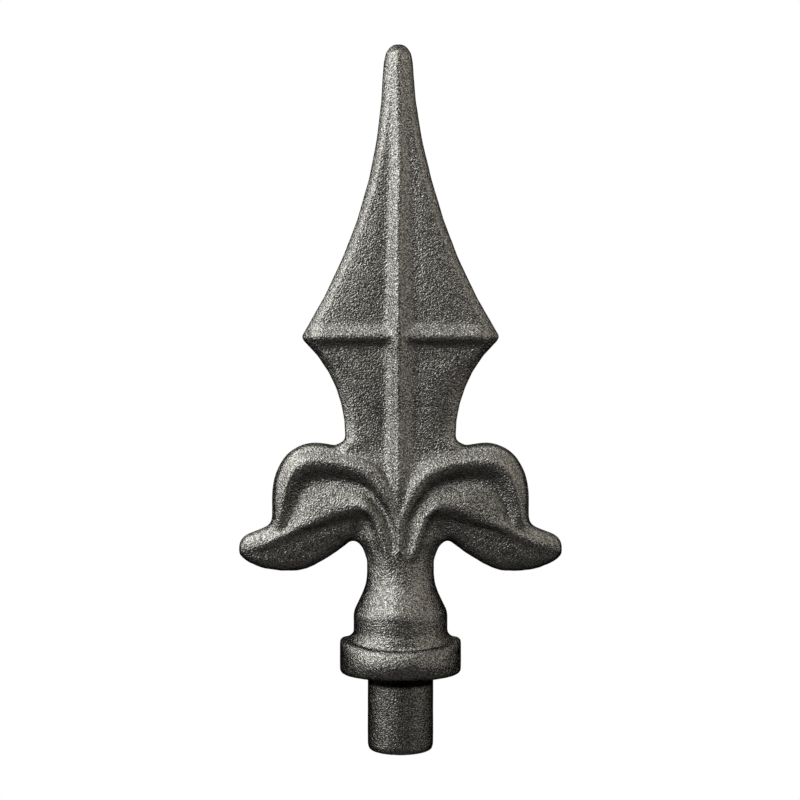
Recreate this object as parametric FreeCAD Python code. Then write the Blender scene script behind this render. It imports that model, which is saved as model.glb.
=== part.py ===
import FreeCAD, Part

import math
import os

# Railing spear finial, one iron casting, in millimetres.
# +Z runs up the spigot's axis, Z = 0 is the underside of the collar, and the blade lies in the XZ plane.
# The front (-Y) and the back are alike.

# Turned base
spigot_diameter = 14.0
spigot_length = 16.3
collar_diameter = 25.8
collar_height = 7.6
collar_chamfer = 0.5
collar_round = 1.0
bulb_diameter = 20.0
bulb_height = 12.9
bulb_round = 3.3
bulb_foot_fillet = 1.0
neck_diameter = 14.3
neck_height = 18.9
neck_fillet = 8.8
neck_top = 26.5
neck_round = 5.0
neck_fade = 11.0

# Blade outline, seen from the front
tip_height = 133.5
tip_half_width = 3.05
tip_dome_length = 4.0
shoulder_height = 70.95
shoulder_half_width = 21.2
shoulder_flat = 0.9
waist_height = 50.2
waist_half_width = 11.75
armpit_fillet = 1.6

# Blade relief, as half thicknesses from the parting plane, and widths measured from the centre or the edge
edge_depth_shoulder = 2.0
edge_depth_tip = 1.7
panel_depth_waist = 3.6
panel_depth_shoulder = 3.1
panel_depth_tip = 2.5
rib_depth_waist = 6.5
rib_depth_shoulder = 5.7
rib_depth_tip = 3.2
rib_foot_shoulder = 3.0
rib_foot_tip = 1.35
rib_crest_round = 0.9
bevel_width_shoulder = 1.8
bevel_width_tip = 1.0

# Cross rib, from shoulder to shoulder
cross_rib_depth = 4.9
cross_rib_upper_flank = 3.4
cross_rib_lower_flank = 2.4
cross_rib_sink = 0.5
cross_rib_end_gap = 0.6
cross_rib_end_share = 0.1
cross_rib_hip = 3.6

# How many stretches follow each of the blade's curves
upper_steps = 7
lower_steps = 6
armpit_turns = (0, 30, 60, 90)
dome_turns = (30, 55, 75)

# Leaves
leaf_reach = 34.35
leaf_low = 21.5
leaf_height = 27.3
leaf_depth = 7.2
leaf_edge_depth = 1.1
ridge_fall_width = 2.4

# Sections of one leaf from the stem to the tip. Each row gives the rim, the hollow under the bead, the
# middle ridge and the foot as (out, up), in hundredths of the leaf's reach and height, and then the
# depths of the flank, the bead, the hollow, the ridge and the lobe, in hundredths of the leaf's depth.
leaf_section_shares = [
    ((-7.0, -4.0), (3.0, -4.0), (6.0, -4.0), (18.0, -4.0), (68.0, 86.0, 80.0, 72.0, 50.0)),
    ((-7.5, 15.0), (4.2, 14.5), (8.5, 14.0), (21.2, 10.0), (85.0, 102.0, 90.0, 98.0, 60.0)),
    ((-6.5, 34.0), (5.6, 32.0), (11.6, 31.0), (24.3, 19.5), (86.0, 102.0, 82.0, 95.0, 66.0)),
    ((0.5, 58.0), (10.0, 47.5), (16.3, 43.6), (28.0, 23.4), (78.0, 94.0, 62.0, 86.0, 56.0)),
    ((14.5, 87.0), (22.2, 64.8), (25.8, 51.0), (30.3, 23.4), (61.0, 80.0, 42.0, 77.0, 46.0)),
    ((38.7, 97.5), (40.5, 71.0), (40.5, 50.5), (40.5, 14.0), (43.0, 68.0, 31.0, 71.0, 41.0)),
    ((57.5, 99.3), (54.0, 70.0), (53.0, 44.5), (54.7, 3.5), (41.0, 66.0, 29.0, 69.0, 42.0)),
    ((73.3, 86.5), (61.0, 63.0), (62.0, 36.3), (64.0, 0.2), (39.0, 63.0, 30.0, 67.0, 42.0)),
    ((79.3, 62.3), (66.6, 47.6), (66.8, 32.2), (71.6, 0.0), (37.0, 60.0, 36.0, 64.0, 42.0)),
    ((79.6, 42.5), (71.2, 33.4), (73.3, 28.4), (79.2, 0.8), (32.0, 51.0, 48.0, 60.0, 42.0)),
    ((84.2, 34.2), (79.8, 28.4), (81.4, 22.6), (86.0, 2.6), (24.0, 36.0, 47.0, 56.0, 39.0)),
    ((93.2, 29.6), (90.4, 23.6), (90.2, 18.8), (93.2, 6.3), (21.0, 33.0, 42.0, 48.0, 35.0)),
    ((97.8, 25.6), (96.6, 21.0), (96.5, 17.2), (97.5, 10.0), (17.0, 26.0, 33.0, 35.0, 28.0)),
    ((99.8, 20.5), (99.8, 18.8), (99.8, 16.8), (99.8, 13.6), (12.0, 19.0, 21.0, 20.0, 18.0)),
]

# Shape of the relief between those lines: where each bend lies on its way across, and how far it has
# risen or fallen there, as shares
flank_bend_share = 0.3
bead_crest_share = 0.47
bead_bend_share = 0.35
bead_fall_share = 0.18
ridge_bend_share = 0.8
ridge_rise_share = 0.9
dip_depth_share = 1.08
lobe_bend_share = 0.4
brow_bend_share = 0.8
brow_rise_share = 0.6

spigot_radius = spigot_diameter / 2
collar_radius = collar_diameter / 2
bulb_radius = bulb_diameter / 2
neck_radius = neck_diameter / 2


def vec(x, y, z):
    return FreeCAD.Vector(x, y, z)


def between(a, b, share):
    return a + (b - a) * share


def round_corner(points, i, radius):
    """Start, middle and end of the arc in corner i, which takes less than half of either run beside it."""
    corner = points[i]
    if not radius:
        return corner, None, corner
    back = points[i - 1] - corner
    ahead = points[(i + 1) % len(points)] - corner
    half_angle = back.getAngle(ahead) / 2
    reach = min(radius / math.tan(half_angle), 0.48 * back.Length, 0.48 * ahead.Length)
    radius = reach * math.tan(half_angle)
    back.normalize()
    ahead.normalize()
    bisector = back + ahead
    bisector.normalize()
    middle = corner + bisector * (radius / math.sin(half_angle) - radius)
    return corner + back * reach, middle, corner + ahead * reach


def make_base():
    """Spigot, collar, bulb and neck, turned about the axis. Each round is two narrow flats."""
    corners = [
        (0.0, -spigot_length, 0.0),
        (spigot_radius, -spigot_length, 0.0),
        (spigot_radius, 0.0, 0.0),
        (collar_radius - collar_chamfer, 0.0, 0.0),
        (collar_radius, collar_chamfer, 0.0),
        (collar_radius, collar_height, collar_round),
        (bulb_radius, collar_height, bulb_foot_fillet),
        (bulb_radius, bulb_height, bulb_round),
        (neck_radius, neck_height, neck_fillet),
        (neck_radius, neck_top, neck_round),
        (0.0, neck_top + neck_fade, 0.0),
    ]
    points = [vec(r, 0, z) for r, z, _ in corners]
    profile = []
    for i, (_, _, radius) in enumerate(corners):
        start, middle, end = round_corner(points, i, radius)
        profile += [start, middle, end] if middle else [start]
    face = Part.Face(Part.makePolygon(profile + profile[:1]))
    return face.revolve(vec(0, 0, 0), vec(0, 0, 1), 360)


def concave_edge(z, straight_z, straight_x, corner_z, corner_x):
    """Half width at height z of an arc that is upright at one end and meets a corner at the other."""
    rise = corner_z - straight_z
    run = corner_x - straight_x
    radius = (rise * rise + run * run) / (2 * run)
    return straight_x + radius - math.sqrt(radius * radius - (z - straight_z) ** 2)


def upper_width(z):
    return concave_edge(z, tip_height, tip_half_width, shoulder_height, shoulder_half_width)


def lower_width(z):
    return concave_edge(z, waist_height, waist_half_width, shoulder_height, shoulder_half_width)


def blade_section(z, half_width, edge, panel, rib, foot, bevel):
    """Closed section of the blade at height z: edges, bevels, panels and a rib with a round crest."""
    quarter = [(0.0, rib), (foot, panel), (half_width - bevel, panel), (half_width, edge)]
    places = list(quarter)
    places += [(x, -y) for x, y in reversed(quarter)]
    places += [(-x, -y) for x, y in quarter[1:]]
    places += [(-x, y) for x, y in reversed(quarter[1:])]
    points = [vec(x, y, z) for x, y in places]
    edges = []
    corners = [round_corner(points, i, 0.0 if point.x else rib_crest_round) for i, point in enumerate(points)]
    for i, (start, middle, end) in enumerate(corners):
        if middle:
            edges.append(Part.Arc(start, middle, end).toShape())
        edges.append(Part.makeLine(end, corners[(i + 1) % len(corners)][0]))
    return Part.Wire(edges)


def upper_section(z, share):
    """Section between the shoulder (share 0) and the tip (share 1)."""
    return blade_section(
        z,
        upper_width(z),
        between(edge_depth_shoulder, edge_depth_tip, share),
        between(panel_depth_shoulder, panel_depth_tip, share),
        between(rib_depth_shoulder, rib_depth_tip, share),
        between(rib_foot_shoulder, rib_foot_tip, share),
        between(bevel_width_shoulder, bevel_width_tip, share),
    )


def lower_section(z, share):
    """Section between the shoulder (share 0) and the waist (share 1)."""
    panel = between(panel_depth_shoulder, panel_depth_waist, share)
    rib = between(rib_depth_shoulder, rib_depth_waist, share)
    return blade_section(
        z, lower_width(z), edge_depth_shoulder, panel, rib, rib_foot_shoulder, bevel_width_shoulder
    )


def make_upper_blade():
    """From the shoulder to the foot of the tip's dome."""
    bottom = shoulder_height + shoulder_flat / 2
    top = tip_height - tip_dome_length
    shares = [step / upper_steps for step in range(upper_steps + 1)]
    return Part.makeLoft([upper_section(between(bottom, top, share), share) for share in shares], True, True)


def make_tip():
    """The dome on the tip: the blade's own section shrinks as it rises."""
    foot = upper_section(tip_height - tip_dome_length, 1.0)
    sections = [foot]
    for turn in dome_turns:
        angle = math.radians(turn)
        matrix = FreeCAD.Matrix()
        matrix.scale(math.cos(angle), math.cos(angle), 1.0)
        matrix.move(0, 0, tip_dome_length * math.sin(angle))
        sections.append(foot.transformGeometry(matrix))
    return Part.makeLoft(sections, True, True)


def make_shoulder():
    """The blunt corner between the upper and the lower blade."""
    low = lower_section(shoulder_height - shoulder_flat / 2, 0.0)
    high = upper_section(shoulder_height + shoulder_flat / 2, 0.0)
    return Part.makeLoft([low, high], True, True)


def make_lower_blade():
    """From the shoulder down to the waist."""
    top = shoulder_height - shoulder_flat / 2
    shares = [step / lower_steps for step in range(lower_steps + 1)]
    sections = [lower_section(between(top, waist_height, share), share) for share in shares]
    return Part.makeLoft(sections, True, True)


def make_blade_root():
    """The blade's foot: it widens into the armpits, then its rib runs on down under the leaves' beads."""
    least = rib_foot_shoulder + 1.2 * bevel_width_shoulder
    rows = []
    for turn in armpit_turns:
        down = armpit_fillet * math.sin(math.radians(turn))
        out = armpit_fillet * (1 - math.cos(math.radians(turn)))
        edge = between(edge_depth_shoulder, leaf_edge_depth, turn / 90)
        rows.append((waist_height - down, waist_half_width + out, edge))
    for row in leaf_section_shares[5:1:-1]:
        bead = leaf_section(row)[2]
        rows.append((bead.z, max(bead.x, least), leaf_edge_depth))
    relief = (panel_depth_waist, rib_depth_waist, rib_foot_shoulder, bevel_width_shoulder)
    sections = [blade_section(z, half_width, edge, *relief) for z, half_width, edge in rows]
    return Part.makeLoft(sections, True, True)


def make_cross_rib():
    """Roof-shaped bar from shoulder to shoulder, with a hip at each end."""
    base = panel_depth_shoulder - cross_rib_sink
    rise = cross_rib_depth - base
    end = shoulder_half_width - cross_rib_end_gap
    sections = []
    for x, scale, crest in (
        (-end, cross_rib_end_share, edge_depth_shoulder),
        (-end + cross_rib_hip, 1.0, cross_rib_depth),
        (end - cross_rib_hip, 1.0, cross_rib_depth),
        (end, cross_rib_end_share, edge_depth_shoulder),
    ):
        top = shoulder_height + scale * cross_rib_upper_flank
        low = shoulder_height - scale * cross_rib_lower_flank
        foot = crest - scale * rise
        front = [vec(x, -foot, top), vec(x, -crest, shoulder_height), vec(x, -foot, low)]
        back = [vec(x, foot, low), vec(x, crest, shoulder_height), vec(x, foot, top)]
        sections.append(Part.makePolygon(front + back + front[:1]))
    return Part.makeLoft(sections, True, True)


def leaf_section(row):
    """Points across the front of the leaf at one section, from rim to foot."""
    rim, hollow, ridge, foot = [
        vec(out / 100 * leaf_reach, 0, leaf_low + up / 100 * leaf_height) for out, up in row[:4]
    ]
    flank_depth, bead_depth, hollow_depth, ridge_depth, lobe_depth = [
        share / 100 * leaf_depth for share in row[4]
    ]
    edge = min(leaf_edge_depth, 0.7 * bead_depth)
    bead = between(rim, hollow, bead_crest_share)
    dip = between(ridge, foot, min(ridge_fall_width / (foot - ridge).Length, 0.35))
    points = [
        (rim, edge),
        (between(rim, bead, flank_bend_share), flank_depth),
        (bead, bead_depth),
        (between(bead, hollow, bead_bend_share), between(bead_depth, hollow_depth, bead_fall_share)),
        (hollow, hollow_depth),
        (between(hollow, ridge, ridge_bend_share), between(hollow_depth, ridge_depth, ridge_rise_share)),
        (ridge, ridge_depth),
        (dip, dip_depth_share * lobe_depth),
        (between(dip, foot, lobe_bend_share), lobe_depth),
        (between(dip, foot, brow_bend_share), between(edge, lobe_depth, brow_rise_share)),
        (foot, edge),
    ]
    return [vec(place.x, -depth, place.z) for place, depth in points]


def mirrored(shape):
    """The same shape behind the parting plane."""
    return shape.mirror(vec(0, 0, 0), vec(0, 1, 0))


def strip(one, other):
    """Surface between two curves that run the same way."""
    same_way = 1
    return Part.makeRuledSurface(one, other, same_way)


def make_leaf():
    """One leaf: strips between curves that run along it, their mirror images behind, and two end caps."""
    rows = [leaf_section(row) for row in leaf_section_shares]
    rails = []
    for i in range(len(rows[0])):
        rail = Part.BSplineCurve()
        rail.interpolate(Points=[row[i] for row in rows], Parameters=list(range(len(rows))))
        rails.append(rail.toShape())
    faces = [strip(one, other) for one, other in zip(rails, rails[1:])]
    faces += [mirrored(face) for face in faces]
    faces += [strip(rail, mirrored(rail)) for rail in (rails[0], rails[-1])]
    for row in (rows[0], rows[-1]):
        outline = row + [vec(point.x, -point.y, point.z) for point in reversed(row)]
        faces.append(Part.Face(Part.makePolygon(outline + outline[:1])))
    shell = Part.makeShell(faces)
    shell.sewShape()
    leaf = Part.makeSolid(shell)
    if leaf.Volume < 0:
        leaf.reverse()
    return leaf


def make_leaves():
    """Both leaves, each cut off at the middle plane, where they meet."""
    side = Part.makeBox(2 * leaf_reach, 4 * leaf_depth, 3 * leaf_height)
    side.translate(vec(0, -2 * leaf_depth, leaf_low - leaf_height))
    leaf = make_leaf().common(side)
    return [leaf, leaf.mirror(vec(0, 0, 0), vec(1, 0, 0))]


def make_finial():
    parts = [make_upper_blade(), make_tip(), make_shoulder(), make_lower_blade(), make_blade_root()]
    parts += [make_cross_rib()]
    parts += make_leaves()
    return make_base().fuse(parts).Solids[0]


os.makedirs("parts", exist_ok=True)
make_finial().exportStep(os.path.join("parts", "finial.step"))
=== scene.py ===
import math

import bmesh
import bpy
import numpy as np
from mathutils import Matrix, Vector, noise
from mathutils.kdtree import KDTree


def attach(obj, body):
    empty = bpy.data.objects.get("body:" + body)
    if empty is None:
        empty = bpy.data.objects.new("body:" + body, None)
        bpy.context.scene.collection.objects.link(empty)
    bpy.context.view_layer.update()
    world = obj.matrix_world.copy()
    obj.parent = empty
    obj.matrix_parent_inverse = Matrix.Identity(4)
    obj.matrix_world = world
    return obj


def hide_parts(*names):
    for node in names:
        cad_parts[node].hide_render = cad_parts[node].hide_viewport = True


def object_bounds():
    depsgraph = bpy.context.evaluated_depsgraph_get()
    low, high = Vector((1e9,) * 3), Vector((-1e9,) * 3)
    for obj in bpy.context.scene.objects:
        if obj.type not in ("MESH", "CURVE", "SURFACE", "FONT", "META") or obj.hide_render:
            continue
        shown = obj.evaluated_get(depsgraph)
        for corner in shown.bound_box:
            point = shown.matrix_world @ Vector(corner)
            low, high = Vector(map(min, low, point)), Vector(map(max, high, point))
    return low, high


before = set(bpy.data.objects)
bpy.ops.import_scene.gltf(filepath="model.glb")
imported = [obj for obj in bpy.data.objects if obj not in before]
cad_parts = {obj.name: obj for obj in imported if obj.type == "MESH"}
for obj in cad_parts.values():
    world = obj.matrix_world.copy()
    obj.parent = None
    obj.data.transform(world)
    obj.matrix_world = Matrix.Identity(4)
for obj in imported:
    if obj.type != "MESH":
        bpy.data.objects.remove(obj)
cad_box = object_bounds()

MM = 0.001
SIDEWAYS, DEPTH, UP = 0, 1, 2


def mm(*lengths):
    """Lengths in millimetres, turned into metres."""
    return tuple(length * MM for length in lengths)


# Names: _AT is a bell's middle and width, _EDGE is where a step starts and is full,
# and _SPAN is where a stretch starts, is full, starts to fade and has ended

# Camera: level, looking along +Y, with the photograph's frame
PIXEL = 0.2125 * MM
CAMERA_DISTANCE = 319 * MM
CAMERA_HEIGHT = 57.8 * MM
CAMERA_SIDE = -0.1 * MM
SENSOR = 36.0
FRAME_PIXELS = 800

# Skin of the casting
WELD_DISTANCE = 0.001 * MM
VOXEL = 0.4 * MM

# Softening all over: a round pulls in and then pushes out, which keeps the size
RELAX_ROUNDS = 17
RELAX_IN = 0.6
RELAX_OUT = -0.62

# Softening of the relief alone, which comes next
RELIEF_ROUNDS = 5

# Strength of the rounds after the first kind, apart from the cross rib's
SOFTENING = 0.6

# The base, under the neck, is softened less, but for the shelf on top of the collar
BASE_TOP = 12 * MM
BASE_BLEND = 4 * MM
BASE_RELAX = 0.3
SHELF_UP_AT = mm(7.8, 1.2)

# Valleys beside the central rib, at the foot of the blade
VALLEY_ROUNDS = 30
VALLEY_SIDE_AT = mm(4.2, 2.6)
VALLEY_UP_AT = mm(42, 4)

# Crest of the cross rib
CROSS_ROUNDS = 8
CROSS_SOFTENING = 0.5
CROSS_UP_AT = mm(70.5, 2.2)
CROSS_END_EDGE = mm(17, 20)

# Crease on top of the collar
CREASE_ROUNDS = 16
CREASE_RADIUS_AT = mm(10.2, 1.0)
CREASE_UP_AT = mm(7.6, 1.2)

# Armpits under the leaves
ARMPIT_ROUNDS = 30
ARMPIT_SIDE = 10.1 * MM
ARMPIT_HEIGHT = 28.2 * MM
ARMPIT_AT = mm(0, 1.8)

# Panels of the blade
OUTLINE_ROWS = 140
PANEL_SPAN = mm(47, 52, 112, 122)
CROSSING_HEIGHT = 69 * MM
CROSSING_EDGE = mm(3, 5)
PANEL_INNER = 3.0 * MM
PANEL_MARGIN = 2.0 * MM
NARROWEST_PANEL = 1 * MM
FULL_PANEL = 8 * MM
PANEL_BULGE = 0.25 * MM
PANEL_SLOPE = 0.2 * MM
PANEL_FACE_EDGE = mm(2.2, 3.0)

# Lower blade, which recedes towards the waist
WAIST_EDGE = mm(38, 52)
PANEL_FALL = 0.8 * MM
FALL_TOP = 68 * MM
FALL_LENGTH = 15 * MM
RIB_STEP = 0.5 * MM
RIB_STEP_EDGE = mm(67, 71)
RIB_SIDE_EDGE = mm(1.5, 3.2)

# Rims: width, share of the depth that falls away, power of the curve
BLADE_RIM = ((1.5 * MM, 0.37, 1.1), (0.5 * MM, 0.1, 2), (2.8 * MM, 0.06, 2))
LEAF_RIM = ((0.7 * MM, 0.36, 2),)
LEAF_UNDERSIDE = ((2.2 * MM, 0.3, 2),)
WALL_FACING = 0.4
UNDERSIDE_FACING = -0.3
RIM_FOOT_EDGE = mm(19, 20)
RIM_SIDE_EDGE = mm(7.5, 9)
RIM_STEM_EDGE = mm(31, 34)
BLADE_EDGE = mm(50, 54)

# Collar: its top slopes down to the front and back, and its edges are tucked in there
COLLAR_RADIUS = 12.9 * MM
COLLAR_TOP = 9 * MM
COLLAR_FOOT = -0.1 * MM
SHELF_RADIUS_EDGE = mm(9.85, 11.6)
SLOPE_FOOT = 2.5 * MM
SLOPE_HEIGHT = 5.1 * MM
SLOPE_FALL = 1.5 * MM
TUCK_TOP = 3.6 * MM
UPPER_TUCK = 1.1 * MM
LOWER_TUCK = 1.4 * MM

# Groove under the collar, at the front and back, and the spigot's rounded foot
GROOVE_UP_AT = mm(-1.0, 0.8)
GROOVE_RADIUS = 7.6 * MM
GROOVE_TOP = 0.1 * MM
GROOVE_SIDE_EDGE = mm(4.5, 6.6)
GROOVE_DEPTH = 0.5 * MM
FOOT_TOP = -14.8 * MM
FOOT_HEIGHT = 1.4 * MM
FOOT_INSIDE = 4 * MM
FOOT_TUCK = 0.4 * MM

# Ridge line across the face of a leaf, which lies lower than in the solid
LEAF_RIDGE_DROP = 1.9 * MM
LEAF_RIDGE_SIDE_AT = mm(17, 7)
LEAF_RIDGE_UP_AT = mm(34.5, 3.7)

# Small ridges along the leaf roots: points of the line from the neck outwards, in mm
ROOT_LINE = ((3.1, 20.5), (2.9, 24.5), (3.2, 26.0), (4.1, 29.1), (5.4, 33.4), (7.8, 36.1), (10.5, 38.2))
ROOT_LINE_AT = mm(0, 1.35)
ROOT_LINE_END_EDGE = mm(7, 11)
ROOT_LINE_HEIGHT = 0.6 * MM
ROOT_LINE_FACE_EDGE = mm(3, 5)
ROOT_LINE_FOOT_LEFT = 19 * MM
ROOT_LINE_FOOT_RIGHT = 23.5 * MM
ROOT_LINE_FULL = 26 * MM

# Stem of a leaf, and the inside of its bead, both moved towards the middle
STEM_SHIFT = 1.2 * MM
STEM_SIDE_AT = mm(9.5, 2.5)
STEM_SPAN = mm(28, 30.5, 33, 35.5)
BEAD_SHIFT = 0.5 * MM
BEAD_SIDE_AT = mm(25, 2)
BEAD_UP_AT = mm(38, 6)
BEAD_END_EDGE = mm(25.4, 27.2)

# Outer hollow of a leaf, along the inside of its bead
HOLLOW_DEPTH = 0.32 * MM
HOLLOW_SIDE = 23.1 * MM
HOLLOW_HEIGHT = 36.5 * MM
HOLLOW_LEAN = 0.1
HOLLOW_WIDTH = 0.9 * MM
HOLLOW_UP_AT = mm(35.5, 3.6)
HOLLOW_FACE_EDGE = mm(2, 3)

# Sides of the leaf roots, which fall away from a line beside the neck
SIDES_FALL = 1.3 * MM
SIDES_INNER = 2.6 * MM
SIDES_FOOT = 23 * MM
SIDES_LEAN = 0.35
SIDES_WIDTH = 4 * MM
SIDES_END_EDGE = mm(8.5, 11)
SIDES_SPAN = mm(20.5, 25, 30, 33.5)
SIDES_FACE_EDGE = mm(1, 4)

# Blade: the tip and the central rib lean slightly to one side
TIP_LEAN = 0.45 * MM
TIP_EDGE = mm(100, 126)
RIB_LEAN = 0.37 * MM
RIB_SIDE_AT = mm(0, 4)
RIB_SPAN = mm(30, 44, 90, 112)

# Neck: a soft crest, shallower than wide, and a small ridge where the leaf roots meet
CREST_HEIGHT = 0.16 * MM
CREST_SIDE = -0.9 * MM
CREST_WIDTH = 2.6 * MM
CREST_SPAN = mm(11, 14, 24, 27)
NECK_FLATNESS = 0.2
NECK_SPAN = mm(13, 27, 28, 44)
MEETING_HEIGHT = 0.6 * MM
MEETING_SIDE_AT = mm(-0.3, 0.9)
MEETING_SPAN = mm(24.5, 26.5, 31, 35)

# Waves of the surface: length and height
WAVES = ((7.0 * MM, 0.05 * MM), (2.2 * MM, 0.02 * MM))
WAVE_SINK = 0.04 * MM
BOX_MARGIN = 0.01 * MM

# Finer waves on the leaves' lobes
LOBE_WAVE = (1.3 * MM, 0.06 * MM)
LOBE_SIDE_EDGE = mm(8.5, 10.5)
LOBE_FOOT_EDGE = mm(19, 21)
LOBE_TOP_EDGE = mm(32, 34)
LOBE_MIDDLE = 14 * MM
LOBE_SLOPE = 0.5

# Cast iron: each stop is a place between 0 and 1, and the colour there
SPECK_SCALE = 4400
SPECK_STOPS = ((0.2, (0.050, 0.048, 0.043)), (0.8, (0.235, 0.225, 0.202)))
GLOSS_SCALE = 900
GLOSS_DETAIL = 3
GLOSS_STOPS = ((0.3, (0.18, 0.18, 0.18)), (0.7, (0.26, 0.26, 0.26)))
GRAIN_SCALE = 2800
GRAIN_DETAIL = 2
GRAIN_DEPTH = 0.26 * MM
SPECULAR_TINT = (0.1, 0.1, 0.1, 1)

# Painted shade in the groove under the collar, standing in for the collar's shadow there: its stops
# multiply the iron's colour
UNSHADED = (1.0, 1.0, 1.0)
THIN_PAINTED_SHADE = (0.8, 0.8, 0.8)
PAINTED_SHADE = (0.03, 0.03, 0.03)
PAINTED_SHADE_STOPS = ((0.1, THIN_PAINTED_SHADE), (0.36, PAINTED_SHADE), (0.99, PAINTED_SHADE), (1.0, UNSHADED))
PAINTED_SHADE_FOOT = -3.0 * MM
PAINTED_SHADE_TOP = 0.0

# Sockets of Blender's Mix node for colours
MIX_FIRST = 6
MIX_SECOND = 7
MIX_RESULT = 2

# Floor, well below the object, and world: both are white for the camera and for gloss
WHITE = (1.0, 1.0, 1.0, 1)
WORLD_LIGHT = 0.35
WORLD_SEEN = 1.0
FLOOR_HEIGHT = cad_box[0][UP] - 0.6
FLOOR_HALF = 1.8
FLOOR_COLOUR = (0.85, 0.85, 0.85, 1)
FLOOR_ROUGHNESS = 0.9
FLOOR_GLOW = 0.8

# Cards: name, half of the side, place, turn in degrees, glow
CARD_COLOUR = (0.02, 0.02, 0.02, 1)
LOW_CARD = cad_box[0][UP] - 0.015
CARDS = (
    ("card_low", 0.35, (0, 0.35, LOW_CARD), (0, 0, 0), 0.0),
    ("card_low_front", 0.35, (0, -0.35, LOW_CARD), (0, 0, 0), 0.12),
    ("card_front", 0.9, (0, -0.9, 0.3), (90, 0, 0), 0.15),
    ("card_left", 0.25, (-0.5, 0.35, 0.2), (0, 90, 0), 0.0),
    ("card_right", 0.25, (0.5, 0.35, 0.2), (0, 90, 0), 0.0),
    ("card_back", 0.7, (0, 0.7, 0.4), (90, 0, 0), 0.0),
)

# Lamps: name, direction from the aim, distance, side, brightness, colour
LAMP_AIM = Vector((0, 0, 60 * MM))
LAMPS = (
    ("key", (-0.65, -0.34, 0.68), 0.35, 0.42, 5.1, (0.94, 0.97, 1.0)),
    ("side", (-0.87, -0.5, 0.06), 0.35, 0.3, 1.8, (0.94, 0.97, 1.0)),
    ("fill", (0.95, -0.3, 0.05), 0.5, 0.4, 0.5, (1.0, 0.9, 0.75)),
    ("fill_high", (0.65, -0.35, 0.67), 0.5, 0.4, 0.75, (1.0, 0.92, 0.8)),
    ("back", (0.22, 0.94, 0.26), 0.5, 0.28, 2.6, (1.0, 1.0, 1.0)),
)


def step(values, low, high):
    """Rises smoothly from 0 at low to 1 at high."""
    share = np.clip((values - low) / (high - low), 0, 1)
    return share * share * (3 - 2 * share)


def span(values, start, full, fade, end):
    """Rises from 0 at start to 1 at full, and goes back to 0 from fade to end."""
    return step(values, start, full) * (1 - step(values, fade, end))


def bell(values, middle, width):
    """1 at the middle, and smoothly less on both sides."""
    return np.exp(-(((values - middle) / width) ** 2))


def read_vectors(mesh, name):
    """A vector for each vertex. The name is co for its place, or normal."""
    vectors = np.empty(len(mesh.vertices) * 3)
    mesh.vertices.foreach_get(name, vectors)
    return vectors.reshape(-1, 3)


def write_coords(mesh, coords):
    """Moves the vertices to the places given."""
    mesh.vertices.foreach_set("co", coords.ravel())
    mesh.update()


def cast_mesh():
    """The CAD solid's own surface, remeshed finely, so that its edges can be softened."""
    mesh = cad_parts["finial"].data.copy()
    welded = bmesh.new()
    welded.from_mesh(mesh)
    bmesh.ops.remove_doubles(welded, verts=welded.verts, dist=WELD_DISTANCE)
    welded.to_mesh(mesh)
    welded.free()
    draft = bpy.data.objects.new("draft", mesh)
    bpy.context.scene.collection.objects.link(draft)
    remesh = draft.modifiers.new("remesh", "REMESH")
    remesh.mode = "VOXEL"
    remesh.voxel_size = VOXEL
    evaluated = draft.evaluated_get(bpy.context.evaluated_depsgraph_get())
    skin = bpy.data.meshes.new_from_object(evaluated)
    bpy.data.objects.remove(draft)
    return skin


def outline_halves(x, z, heights):
    """Half of the outline's width at each of the heights."""
    rows = np.clip(((z - heights[0]) / (heights[1] - heights[0])).astype(int), 0, len(heights) - 1)
    widths = np.zeros(len(heights))
    np.maximum.at(widths, rows, np.abs(x))
    return widths


def shape_panels(mesh):
    """The blade's panels bulge slightly, and its lower part recedes towards the waist."""
    coords = read_vectors(mesh, "co")
    x, y, z = coords.T
    heights = np.arange(OUTLINE_ROWS) * MM
    half = np.interp(z, heights, outline_halves(x, z, heights))
    blade = span(z, *PANEL_SPAN) * step(np.abs(z - CROSSING_HEIGHT), *CROSSING_EDGE)
    outer = np.maximum(half - PANEL_MARGIN, PANEL_INNER + NARROWEST_PANEL)
    across = (2 * np.abs(x) - PANEL_INNER - outer) / (outer - PANEL_INNER)
    wide = np.clip((outer - PANEL_INNER) / FULL_PANEL, 0, 1) * blade
    lift = PANEL_BULGE * np.clip(1 - across**2, 0, 1) * wide
    lift -= PANEL_SLOPE * np.clip((across + 1) / 2, 0, 1) * wide
    below = step(z, *WAIST_EDGE)
    lift -= PANEL_FALL * np.clip((FALL_TOP - z) / FALL_LENGTH, 0, 1) * below
    lift -= RIB_STEP * (1 - step(z, *RIB_STEP_EDGE)) * (1 - step(np.abs(x), *RIB_SIDE_EDGE)) * below
    coords[:, DEPTH] += np.sign(y) * step(np.abs(y), *PANEL_FACE_EDGE) * lift
    write_coords(mesh, coords)


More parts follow.
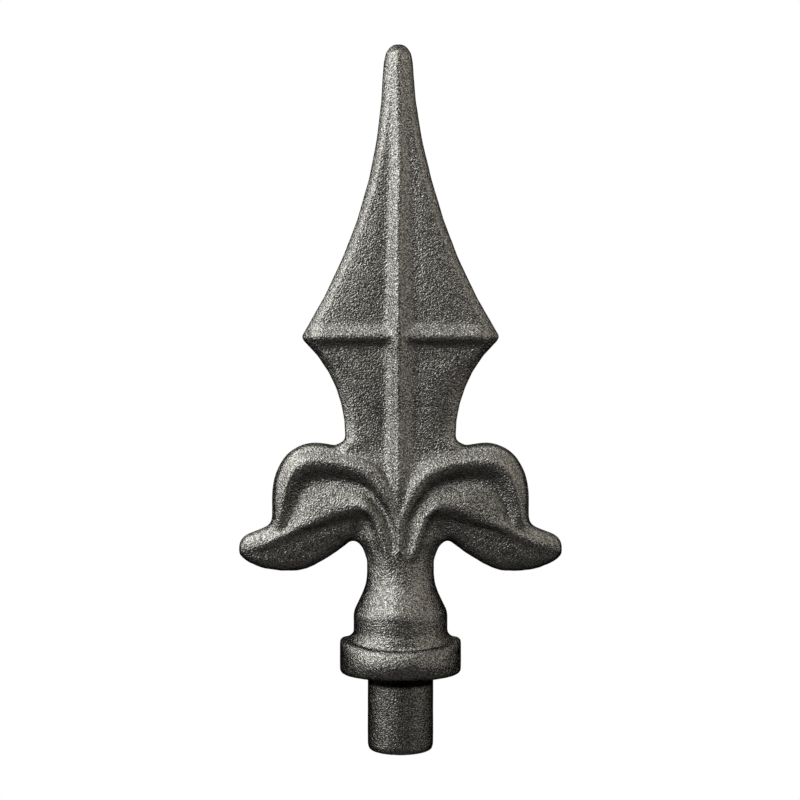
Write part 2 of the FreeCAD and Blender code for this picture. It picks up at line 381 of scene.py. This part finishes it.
def relax(mesh):
    """Softens creases as sand casting does, some of them more than the rest."""
    edges = np.empty(len(mesh.edges) * 2, dtype=np.int64)
    mesh.edges.foreach_get("vertices", edges)
    one, other = edges.reshape(-1, 2).T
    count = len(mesh.vertices)
    degree = np.bincount(np.concatenate([one, other]), minlength=count)
    coords = read_vectors(mesh, "co")

    def pull(axis):
        """How far each point is from the middle of its neighbours."""
        total = np.bincount(one, coords[other, axis], count)
        total += np.bincount(other, coords[one, axis], count)
        return total / degree - coords[:, axis]

    def soften(rounds, factor, share, *axes):
        """Moves each point towards its neighbours, along the axes and by its share."""
        for _ in range(rounds):
            pulls = [pull(axis) for axis in axes]
            for axis, way in zip(axes, pulls):
                coords[:, axis] += factor * share * way

    high = step(coords[:, UP], BASE_TOP, BASE_TOP + BASE_BLEND)
    weight = np.maximum(high, bell(coords[:, UP], *SHELF_UP_AT))
    weight = BASE_RELAX + (1 - BASE_RELAX) * weight
    for _ in range(RELAX_ROUNDS):
        soften(1, RELAX_IN, weight, SIDEWAYS, DEPTH, UP)
        soften(1, RELAX_OUT, weight, SIDEWAYS, DEPTH, UP)
    soften(RELIEF_ROUNDS, SOFTENING, high, DEPTH)

    x, _, z = np.abs(coords.T)
    valley = bell(x, *VALLEY_SIDE_AT) * bell(z, *VALLEY_UP_AT)
    soften(VALLEY_ROUNDS, SOFTENING, valley, DEPTH)
    cross = bell(z, *CROSS_UP_AT) * (1 - step(x, *CROSS_END_EDGE))
    soften(CROSS_ROUNDS, CROSS_SOFTENING, cross, DEPTH)
    radius = np.hypot(coords[:, SIDEWAYS], coords[:, DEPTH])
    crease = bell(radius, *CREASE_RADIUS_AT) * bell(z, *CREASE_UP_AT)
    soften(CREASE_ROUNDS, SOFTENING, crease, SIDEWAYS, DEPTH, UP)
    armpit = bell(np.hypot(x - ARMPIT_SIDE, z - ARMPIT_HEIGHT), *ARMPIT_AT)
    soften(ARMPIT_ROUNDS, SOFTENING, armpit, SIDEWAYS, UP)
    write_coords(mesh, coords)


def round_rims(mesh):
    """Rounds the front and the back down towards the outline of the blade and the leaves."""
    coords = read_vectors(mesh, "co")
    normals = read_vectors(mesh, "normal")
    x, _, z = coords.T
    flat = np.stack([x, np.zeros_like(x), z], axis=1)
    walls = np.flatnonzero((np.abs(normals[:, DEPTH]) < WALL_FACING) & (z > RIM_FOOT_EDGE[0]))
    tree = KDTree(len(walls))
    for i in walls:
        tree.insert(flat[i], i)
    tree.balance()
    place = np.maximum(step(np.abs(x), *RIM_SIDE_EDGE), step(z, *RIM_STEM_EDGE))
    place *= step(z, *RIM_FOOT_EDGE)
    away = np.ones(len(coords))
    below = np.zeros(len(coords))
    for i in np.flatnonzero(place > 0):
        _, nearest, away[i] = tree.find(flat[i])
        below[i] = normals[nearest, UP] < UNDERSIDE_FACING
    blade = step(z, *BLADE_EDGE)
    drop = np.zeros(len(coords))
    leaf = 1 - blade
    for rims, share in (BLADE_RIM, blade), (LEAF_RIM, leaf), (LEAF_UNDERSIDE, below * leaf):
        for width, fall, power in rims:
            drop += share * fall * np.clip(1 - away / width, 0, 1) ** power
    coords[:, DEPTH] *= 1 - place * drop
    write_coords(mesh, coords)


def away_from_line(x, z, line):
    """Distance from a line of straight stretches, given in mm."""
    nearest = np.full(len(x), np.inf)
    points = np.array(line) * MM
    for start, end in zip(points[:-1], points[1:]):
        run = end - start
        aside = x - start[0]
        above = z - start[1]
        share = np.clip((aside * run[0] + above * run[1]) / run.dot(run), 0, 1)
        nearest = np.minimum(nearest, np.hypot(aside - share * run[0], above - share * run[1]))
    return nearest


def shape_base(x, y, z):
    """The collar slopes and is tucked in, a groove runs under it, and the spigot's foot is rounded."""
    radius = np.hypot(x, y)
    front = np.abs(y) / COLLAR_RADIUS
    collar = step(radius, *SHELF_RADIUS_EDGE) * (z < COLLAR_TOP)
    height = np.clip((z - SLOPE_FOOT) / SLOPE_HEIGHT, 0, 1)
    z = z - collar * front * height * SLOPE_FALL
    low = np.clip((TUCK_TOP - z) / TUCK_TOP, 0, 1) * (z > COLLAR_FOOT)
    tuck = collar * front**2 * (height**2 * UPPER_TUCK + low**2 * LOWER_TUCK)
    spigot = (radius < GROOVE_RADIUS) * (z < GROOVE_TOP)
    tuck += GROOVE_DEPTH * bell(z, *GROOVE_UP_AT) * spigot * (1 - step(np.abs(x), *GROOVE_SIDE_EDGE))
    tuck += FOOT_TUCK * np.clip((FOOT_TOP - z) / FOOT_HEIGHT, 0, 1) ** 2 * (radius > FOOT_INSIDE)
    inwards = 1 - tuck / np.maximum(radius, MM)
    return x * inwards, y * inwards, z


def shape_leaves(x, y, z):
    """The leaves' ridge line lies lower, and their roots, stems and hollows are carved."""
    z = z - LEAF_RIDGE_DROP * bell(np.abs(x), *LEAF_RIDGE_SIDE_AT) * bell(z, *LEAF_RIDGE_UP_AT)
    ridge = bell(away_from_line(np.abs(x), z, ROOT_LINE), *ROOT_LINE_AT)
    ridge *= 1 - step(np.abs(x), *ROOT_LINE_END_EDGE)
    ridge *= step(z, np.where(x < 0, ROOT_LINE_FOOT_LEFT, ROOT_LINE_FOOT_RIGHT), ROOT_LINE_FULL)
    y = y + np.sign(y) * ROOT_LINE_HEIGHT * ridge * step(np.abs(y), *ROOT_LINE_FACE_EDGE)

    stem = bell(np.abs(x), *STEM_SIDE_AT) * span(z, *STEM_SPAN)
    x = x - np.sign(x) * STEM_SHIFT * stem
    bead = bell(np.abs(x), *BEAD_SIDE_AT) * bell(z, *BEAD_UP_AT) * (1 - step(np.abs(x), *BEAD_END_EDGE))
    x = x - np.sign(x) * BEAD_SHIFT * bead

    middle = HOLLOW_SIDE + HOLLOW_LEAN * (HOLLOW_HEIGHT - z)
    hollow = bell(np.abs(x), middle, HOLLOW_WIDTH) * bell(z, *HOLLOW_UP_AT)
    y = y - np.sign(y) * HOLLOW_DEPTH * hollow * step(np.abs(y), *HOLLOW_FACE_EDGE)

    inner = SIDES_INNER + SIDES_LEAN * (z - SIDES_FOOT)
    sides = np.clip((np.abs(x) - inner) / SIDES_WIDTH, 0, 1) ** 2
    sides *= (1 - step(np.abs(x), *SIDES_END_EDGE)) * span(z, *SIDES_SPAN)
    y = y - np.sign(y) * SIDES_FALL * sides * step(np.abs(y), *SIDES_FACE_EDGE)
    return x, y, z


def lean_blade(x, y, z):
    """The tip and the central rib lean to one side."""
    x = x - TIP_LEAN * step(z, *TIP_EDGE)
    x = x - RIB_LEAN * bell(x, *RIB_SIDE_AT) * span(z, *RIB_SPAN)
    return x, y, z


def shape_neck(x, y, z):
    """The neck has a soft crest, is shallower than wide, and has a ridge where the leaf roots meet."""
    crest = np.clip(1 - np.abs(x - CREST_SIDE) / CREST_WIDTH, 0, 1) * span(z, *CREST_SPAN)
    y = y + np.sign(y) * CREST_HEIGHT * crest
    y = y * (1 - NECK_FLATNESS * span(z, *NECK_SPAN))
    meeting = bell(x, *MEETING_SIDE_AT) * span(z, *MEETING_SPAN)
    y = y + np.sign(y) * MEETING_HEIGHT * meeting
    return x, y, z


def shape(mesh):
    """Forms that the mould gave the casting, from the base to the neck."""
    places = read_vectors(mesh, "co").T
    for form in (shape_base, shape_leaves, lean_blade, shape_neck):
        places = form(*places)
    write_coords(mesh, np.stack(places, axis=1))


def roughen(mesh):
    """Slight waves all over, as left by the mould."""
    coords = read_vectors(mesh, "co")
    lift = np.zeros(len(coords))
    for length, height in WAVES:
        lift += height * np.array([noise.noise(Vector(place / length)) for place in coords])
    x, _, z = np.abs(coords.T)
    top = z + LOBE_SLOPE * np.abs(x - LOBE_MIDDLE)
    lobe = step(x, *LOBE_SIDE_EDGE) * step(z, *LOBE_FOOT_EDGE) * (1 - step(top, *LOBE_TOP_EDGE))
    length, height = LOBE_WAVE
    for i in np.flatnonzero(lobe):
        lift[i] += lobe[i] * height * noise.noise(Vector(coords[i] / length))
    lift -= WAVE_SINK
    coords += read_vectors(mesh, "normal") * lift[:, None]
    low, high = [np.array(corner) for corner in cad_box]
    write_coords(mesh, np.clip(coords, low + BOX_MARGIN, high - BOX_MARGIN))


def iron():
    """Dark cast iron: fine sand grain, uneven gloss, and a band of painted shade under the collar."""
    material = bpy.data.materials.new("cast_iron")
    material.use_nodes = True
    nodes = material.node_tree.nodes
    links = material.node_tree.links
    shader = nodes["Principled BSDF"]
    place = nodes.new("ShaderNodeTexCoord")

    def grain(scale, detail):
        texture = nodes.new("ShaderNodeTexNoise")
        texture.inputs["Scale"].default_value = scale
        texture.inputs["Detail"].default_value = detail
        links.new(place.outputs["Object"], texture.inputs["Vector"])
        return texture.outputs["Fac"]

    def ramp(source, stops):
        """Turns the source into colours. A new ramp already has its first two stops."""
        node = nodes.new("ShaderNodeValToRGB")
        elements = node.color_ramp.elements
        for element, (position, colour) in zip(elements, stops):
            element.position = position
            element.color = (*colour, 1)
        for position, colour in stops[2:]:
            elements.new(position).color = (*colour, 1)
        links.new(source, node.inputs["Fac"])
        return node.outputs["Color"]

    speck = nodes.new("ShaderNodeTexVoronoi")
    speck.inputs["Scale"].default_value = SPECK_SCALE
    links.new(place.outputs["Object"], speck.inputs["Vector"])
    tone = ramp(speck.outputs["Color"], SPECK_STOPS)

    # Painted shade: the iron's colour is darkened in a band just under the collar, where the collar's
    # shadow falls
    height = nodes.new("ShaderNodeSeparateXYZ")
    links.new(place.outputs["Object"], height.inputs["Vector"])
    band = nodes.new("ShaderNodeMapRange")
    band.inputs["From Min"].default_value = PAINTED_SHADE_FOOT
    band.inputs["From Max"].default_value = PAINTED_SHADE_TOP
    links.new(height.outputs["Z"], band.inputs["Value"])
    painted_shade = ramp(band.outputs["Result"], PAINTED_SHADE_STOPS)
    both = nodes.new("ShaderNodeMix")
    both.data_type = "RGBA"
    both.blend_type = "MULTIPLY"
    both.inputs["Factor"].default_value = 1.0
    links.new(tone, both.inputs[MIX_FIRST])
    links.new(painted_shade, both.inputs[MIX_SECOND])
    links.new(both.outputs[MIX_RESULT], shader.inputs["Base Color"])

    links.new(ramp(grain(GLOSS_SCALE, GLOSS_DETAIL), GLOSS_STOPS), shader.inputs["Roughness"])
    shader.inputs["Metallic"].default_value = 1.0
    shader.inputs["Specular Tint"].default_value = SPECULAR_TINT

    bump = nodes.new("ShaderNodeBump")
    bump.inputs["Distance"].default_value = GRAIN_DEPTH
    bump.inputs["Strength"].default_value = 1.0
    links.new(grain(GRAIN_SCALE, GRAIN_DETAIL), bump.inputs["Height"])
    links.new(bump.outputs["Normal"], shader.inputs["Normal"])
    return material


def make_casting():
    mesh = cast_mesh()
    shape_panels(mesh)
    relax(mesh)
    round_rims(mesh)
    shape(mesh)
    roughen(mesh)
    mesh.polygons.foreach_set("use_smooth", [True] * len(mesh.polygons))
    mesh.materials.clear()
    mesh.materials.append(iron())
    casting = bpy.data.objects.new("casting", mesh)
    bpy.context.scene.collection.objects.link(casting)
    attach(casting, "root")
    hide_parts("finial")


def make_camera():
    data = bpy.data.cameras.new("camera")
    data.sensor_width = SENSOR
    data.lens = SENSOR * CAMERA_DISTANCE / (FRAME_PIXELS * PIXEL)
    camera = bpy.data.objects.new("camera", data)
    bpy.context.scene.collection.objects.link(camera)
    camera.location = (CAMERA_SIDE, -CAMERA_DISTANCE, CAMERA_HEIGHT)
    camera.rotation_euler = (math.radians(90), 0, 0)
    bpy.context.scene.camera = camera


def mix_where_seen(tree, plain, seen):
    """Shows the seen shader to the camera, in gloss and through glass, and the plain one elsewhere."""
    path = tree.nodes.new("ShaderNodeLightPath")
    share = path.outputs["Is Camera Ray"]
    for name in ("Is Glossy Ray", "Is Transmission Ray"):
        largest = tree.nodes.new("ShaderNodeMath")
        largest.operation = "MAXIMUM"
        tree.links.new(share, largest.inputs[0])
        tree.links.new(path.outputs[name], largest.inputs[1])
        share = largest.outputs[0]
    mix = tree.nodes.new("ShaderNodeMixShader")
    tree.links.new(share, mix.inputs[0])
    tree.links.new(plain.outputs[0], mix.inputs[1])
    tree.links.new(seen.outputs[0], mix.inputs[2])
    return mix.outputs[0]


def make_world():
    world = bpy.data.worlds.new("studio")
    bpy.context.scene.world = world
    world.use_nodes = True
    world.cycles.sampling_method = "NONE"
    tree = world.node_tree
    dim = tree.nodes["Background"]
    dim.inputs["Color"].default_value = WHITE
    dim.inputs["Strength"].default_value = WORLD_LIGHT
    white = tree.nodes.new("ShaderNodeBackground")
    white.inputs["Color"].default_value = WHITE
    white.inputs["Strength"].default_value = WORLD_SEEN
    tree.links.new(mix_where_seen(tree, dim, white), tree.nodes["World Output"].inputs["Surface"])


def flat_piece(name, half, place, turn, material):
    """A square of the studio, which isn't part of the object."""
    mesh = bpy.data.meshes.new(name)
    corners = [(-half, -half, 0), (half, -half, 0), (half, half, 0), (-half, half, 0)]
    mesh.from_pydata(corners, [], [(0, 1, 2, 3)])
    mesh.materials.append(material)
    piece = bpy.data.objects.new(name, mesh)
    piece.location = place
    piece.rotation_euler = [math.radians(angle) for angle in turn]
    bpy.context.scene.collection.objects.link(piece)
    return piece


def make_floor():
    material = bpy.data.materials.new("floor")
    material.use_nodes = True
    tree = material.node_tree
    shader = tree.nodes["Principled BSDF"]
    shader.inputs["Base Color"].default_value = FLOOR_COLOUR
    shader.inputs["Roughness"].default_value = FLOOR_ROUGHNESS
    glow = tree.nodes.new("ShaderNodeEmission")
    glow.inputs["Strength"].default_value = FLOOR_GLOW
    both = tree.nodes.new("ShaderNodeAddShader")
    tree.links.new(shader.outputs[0], both.inputs[0])
    tree.links.new(glow.outputs[0], both.inputs[1])
    tree.links.new(mix_where_seen(tree, shader, both), tree.nodes["Material Output"].inputs["Surface"])
    flat_piece("floor", FLOOR_HALF, (0, 0, FLOOR_HEIGHT), (0, 0, 0), material)


def make_card(name, half, place, turn, glow):
    """A dark card, as in a studio: only reflections see it."""
    material = bpy.data.materials.new(name)
    material.use_nodes = True
    shader = material.node_tree.nodes["Principled BSDF"]
    shader.inputs["Base Color"].default_value = CARD_COLOUR
    shader.inputs["Roughness"].default_value = 1.0
    shader.inputs["Emission Color"].default_value = WHITE
    shader.inputs["Emission Strength"].default_value = glow
    card = flat_piece(name, half, place, turn, material)
    card.visible_camera = False
    card.visible_diffuse = False
    card.visible_shadow = False
    card.visible_transmission = False


def make_lamp(name, direction, distance, side, brightness, colour):
    """A square soft lamp, turned to the aim, which the camera doesn't see."""
    lamp = bpy.data.lights.new(name, "AREA")
    lamp.shape = "RECTANGLE"
    lamp.size = side
    lamp.size_y = side
    lamp.energy = math.pi * side * side * brightness
    lamp.color = colour
    box = bpy.data.objects.new(name, lamp)
    box.visible_camera = False
    bpy.context.scene.collection.objects.link(box)
    box.location = LAMP_AIM + Vector(direction).normalized() * distance
    box.rotation_euler = (LAMP_AIM - box.location).to_track_quat("-Z", "Y").to_euler()


make_casting()
make_camera()
make_world()
make_floor()
for card in CARDS:
    make_card(*card)
for lamp in LAMPS:
    make_lamp(*lamp)
bpy.context.scene.view_settings.view_transform = "Standard"
